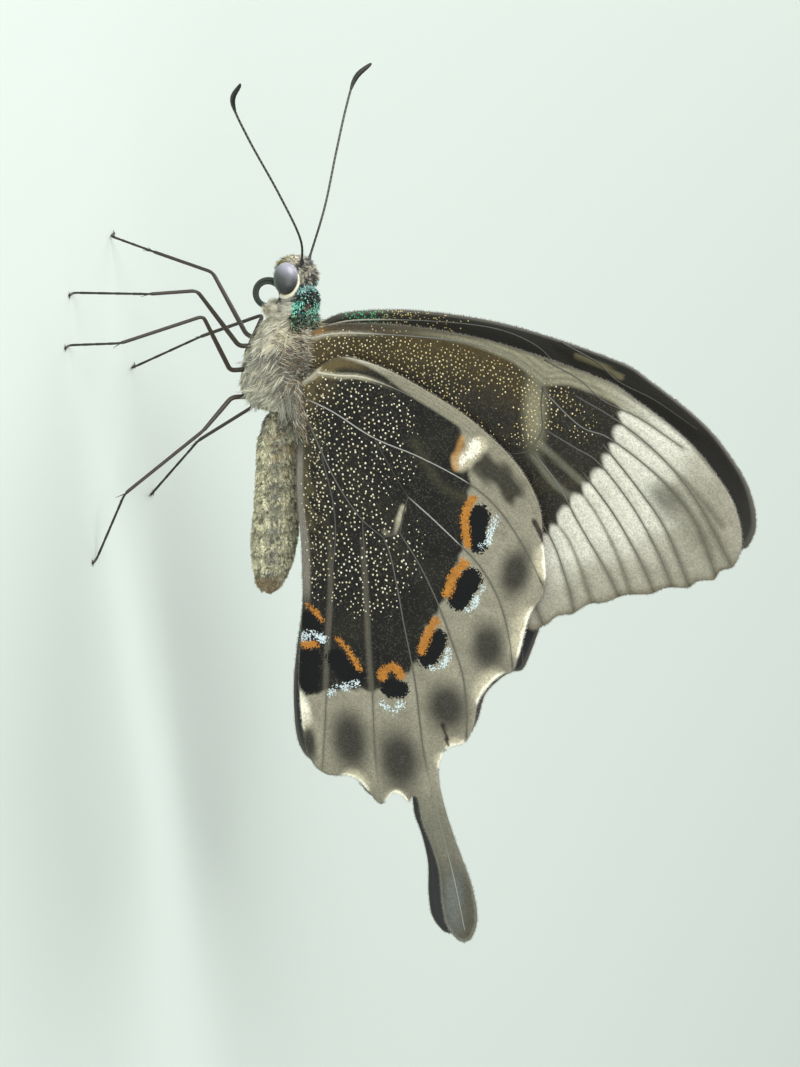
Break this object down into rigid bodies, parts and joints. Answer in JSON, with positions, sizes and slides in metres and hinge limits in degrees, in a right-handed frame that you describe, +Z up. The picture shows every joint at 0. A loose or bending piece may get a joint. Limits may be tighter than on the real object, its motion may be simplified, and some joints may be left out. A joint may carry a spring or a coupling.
{
  "type": "swallowtail butterfly",
  "caption": "Still, life-size emerald swallowtail butterfly standing with wings closed upright, showing the spotted grey-brown undersides, long tails, coiled tongue and clubbed feelers.",
  "frame": {"origin": "on the ground under the middle of the whole outline", "axes": "+X ahead, the way the head points; +Y to the animal's left; +Z up from the ground it stands on"},
  "size_m": [0.0838, 0.0224, 0.0581],
  "materials": {
    "coat": "matte",
    "belly": "matte",
    "wing": "matte",
    "horn": "satin",
    "eye": "gloss",
    "palp": "matte"
  },
  "bodies": {
    "root": {"head": "coat", "prothorax": "coat", "thorax": "coat", "abdomen": "belly", "proboscis": "horn", "eye_left": "eye", "eye_right": "eye", "palp_left": "palp", "palp_right": "palp", "antenna_left": "horn", "antenna_right": "horn", "antenna_club_left": "horn", "antenna_club_right": "horn", "forewing_left": "wing", "forewing_right": "wing", "hindwing_left": "wing", "hindwing_right": "wing", "tail_left": "wing", "tail_right": "wing", "femur_fore_left": "horn", "femur_fore_right": "horn", "femur_mid_left": "horn", "femur_mid_right": "horn", "femur_hind_left": "horn", "femur_hind_right": "horn", "tibia_fore_left": "horn", "tibia_fore_right": "horn", "tibia_mid_left": "horn", "tibia_mid_right": "horn", "tibia_hind_left": "horn", "tibia_hind_right": "horn", "tarsus_fore_left": "horn", "tarsus_fore_right": "horn", "tarsus_mid_left": "horn", "tarsus_mid_right": "horn", "tarsus_hind_left": "horn", "tarsus_hind_right": "horn"}
  },
  "joints": []
}
